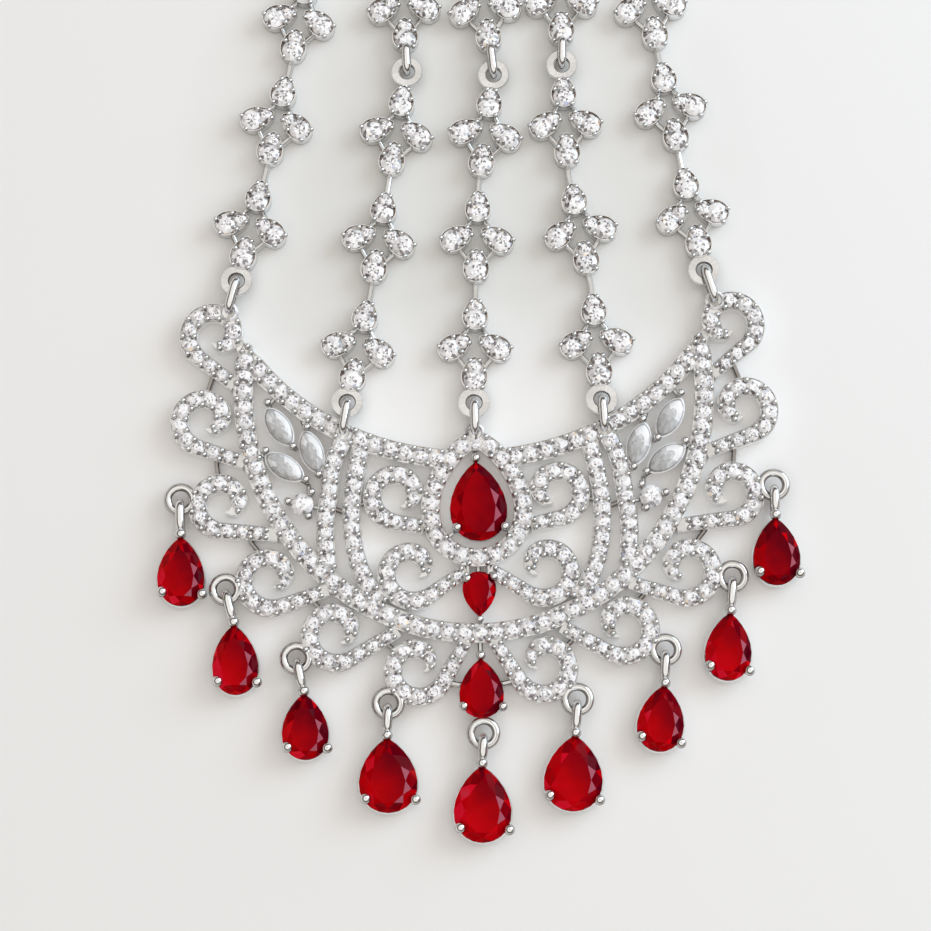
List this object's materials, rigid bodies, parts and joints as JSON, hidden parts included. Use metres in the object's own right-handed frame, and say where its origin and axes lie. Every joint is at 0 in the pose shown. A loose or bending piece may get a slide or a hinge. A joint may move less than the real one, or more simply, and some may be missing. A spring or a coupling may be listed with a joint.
{
  "type": "jhoomar",
  "caption": "Crescent side-head jewel: a pierced, stone-set scrollwork frame with hanging red pear drops, carried on strands of petal clusters from a hook bar.",
  "frame": {"origin": "on the crescent's axis, in the middle of the lower band, on the flat back", "axes": "+Z out of the back towards the stones, +Y from the drops towards the strands and the hook, +X to the right as the front is seen"},
  "size_m": [0.0667, 0.1114, 0.0029],
  "materials": {
    "plated_metal": "bright white plating, set all over with small clear stones",
    "clear_stone": "cut and polished, clear",
    "red_stone": "cut and polished, deep red"
  },
  "bodies": {
    "root": {"crescent_frame": "plated_metal", "centre_red_pear": "red_stone", "small_red_pear": "red_stone", "lower_red_pear": "red_stone", "marquise_upper_left": "clear_stone", "marquise_inner_left": "clear_stone", "marquise_lower_left": "clear_stone", "round_stone_left": "clear_stone", "marquise_upper_right": "clear_stone", "marquise_inner_right": "clear_stone", "marquise_lower_right": "clear_stone", "round_stone_right": "clear_stone", "drop_setting_1": "plated_metal", "drop_stone_1": "red_stone", "drop_setting_2": "plated_metal", "drop_stone_2": "red_stone", "drop_setting_3": "plated_metal", "drop_stone_3": "red_stone", "drop_setting_4": "plated_metal", "drop_stone_4": "red_stone", "drop_setting_5": "plated_metal", "drop_stone_5": "red_stone", "drop_setting_6": "plated_metal", "drop_stone_6": "red_stone", "drop_setting_7": "plated_metal", "drop_stone_7": "red_stone", "drop_setting_8": "plated_metal", "drop_stone_8": "red_stone", "drop_setting_9": "plated_metal", "drop_stone_9": "red_stone", "foot_link_1": "plated_metal", "strand_1_lower": "plated_metal", "foot_link_2": "plated_metal", "strand_2_lower": "plated_metal", "strand_2_upper": "plated_metal", "foot_link_3": "plated_metal", "strand_3_lower": "plated_metal", "strand_3_upper": "plated_metal", "foot_link_4": "plated_metal", "strand_4_lower": "plated_metal", "strand_4_upper": "plated_metal", "foot_link_5": "plated_metal", "strand_5_lower": "plated_metal", "hair_hook_bar": "plated_metal"}
  },
  "joints": []
}
